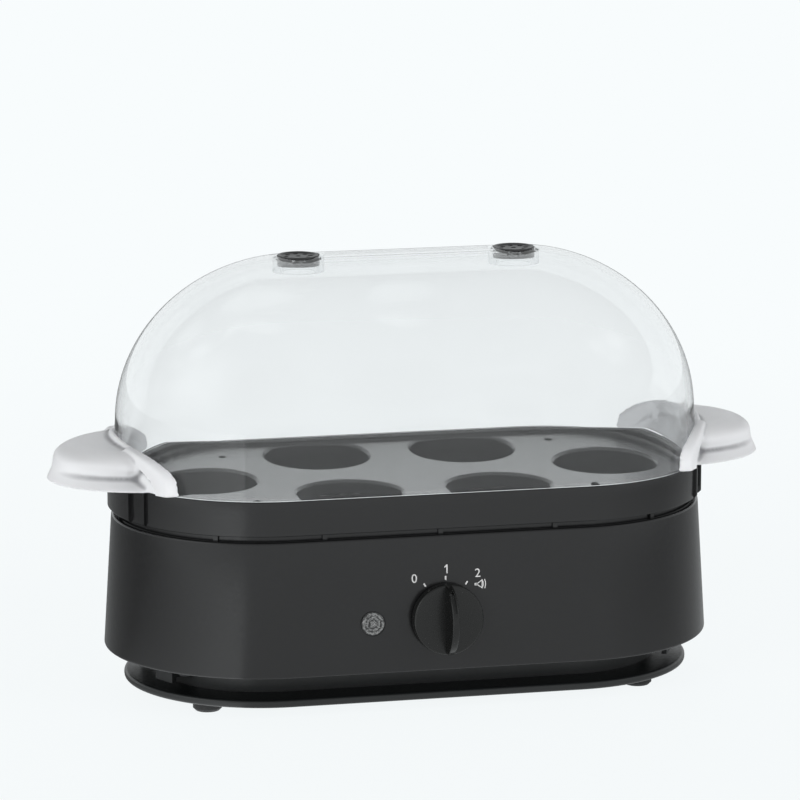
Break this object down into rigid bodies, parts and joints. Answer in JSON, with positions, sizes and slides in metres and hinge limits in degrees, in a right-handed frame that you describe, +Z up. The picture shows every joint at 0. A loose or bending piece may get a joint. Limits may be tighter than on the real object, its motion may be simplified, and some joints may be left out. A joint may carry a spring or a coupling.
{
  "type": "electric egg cooker",
  "caption": "Oval countertop egg cooker: clear arched lid with two side handles, black lift-out egg tray, steel heating dish, rotary knob, pilot lamp and cord-winding base.",
  "frame": {"origin": "on the table, under the middle of the whole object, knob included", "axes": "+Z up, +X to the right as seen from the front and along the longest side, +Y to the back; the knob is on the -Y side"},
  "size_m": [0.2454, 0.1211, 0.1476],
  "materials": {
    "body_black": "satin gloss moulded plastic",
    "base_black": "fine matt moulded plastic",
    "tray_black": "satin gloss moulded plastic",
    "knob_black": "fine matt moulded plastic",
    "lid_clear": "clear polished plastic",
    "handle_frosted": "frosted translucent plastic",
    "vent_black": "matt moulded plastic",
    "lens_clear": "clear faceted plastic",
    "dish_steel": "pressed stainless steel",
    "plain_steel": "zinc-plated sheet steel",
    "screw_steel": "zinc-plated steel",
    "spreader_aluminium": "plain rolled sheet",
    "element_steel": "heat-darkened sheath",
    "foot_rubber": "soft matt rubber",
    "seal_silicone": "translucent silicone",
    "gland_black": "matt bush",
    "switch_plastic": "heat-resistant moulded plastic",
    "board_green": "lacquered laminate",
    "lamp_glass": "clear glass",
    "fuse_metal": "tinned case"
  },
  "bodies": {
    "housing": {"body_shell": "body_black", "winding_drum": "base_black", "base_plate": "base_black", "indicator_lens": "lens_clear", "heating_dish": "dish_steel", "dish_clamp": "plain_steel", "fuse_clip": "plain_steel", "base_screws": "screw_steel", "body_screws": "screw_steel", "switch_screws": "screw_steel", "board_screws": "screw_steel", "clamp_screws": "screw_steel", "clamp_nut": "screw_steel", "heat_spreader": "spreader_aluminium", "heating_element": "element_steel", "foot_front_left": "foot_rubber", "foot_front_right": "foot_rubber", "foot_rear_left": "foot_rubber", "foot_rear_right": "foot_rubber", "dish_seal": "seal_silicone", "cord_gland": "gland_black", "rotary_switch": "switch_plastic", "lamp_holder": "switch_plastic", "buzzer": "switch_plastic", "terminal_block": "switch_plastic", "thermostat": "switch_plastic", "circuit_board": "board_green", "neon_lamp": "lamp_glass", "thermal_fuse": "fuse_metal"},
    "tray": {"egg_tray": "tray_black"},
    "lid": {"lid_dome": "lid_clear", "lid_handle_left": "handle_frosted", "lid_handle_right": "handle_frosted", "vent_insert_left": "vent_black", "vent_insert_right": "vent_black"},
    "knob": {"control_knob": "knob_black", "switch_shaft": "plain_steel"}
  },
  "joints": [
    {"name": "knob_turn", "type": "hinge", "parent": "housing", "child": "knob", "pos_m": [0.001, -0.04592, 0.0334], "axis": [0, -0.9981, 0.0617], "range_deg": [-32, 32]},
    {"name": "tray_lift", "type": "slide", "parent": "housing", "child": "tray", "axis": [0, 0, 1], "range_m": [0, 0.07]},
    {"name": "lid_lift", "type": "slide", "parent": "tray", "child": "lid", "axis": [0, 0, 1], "range_m": [0, 0.09]}
  ]
}
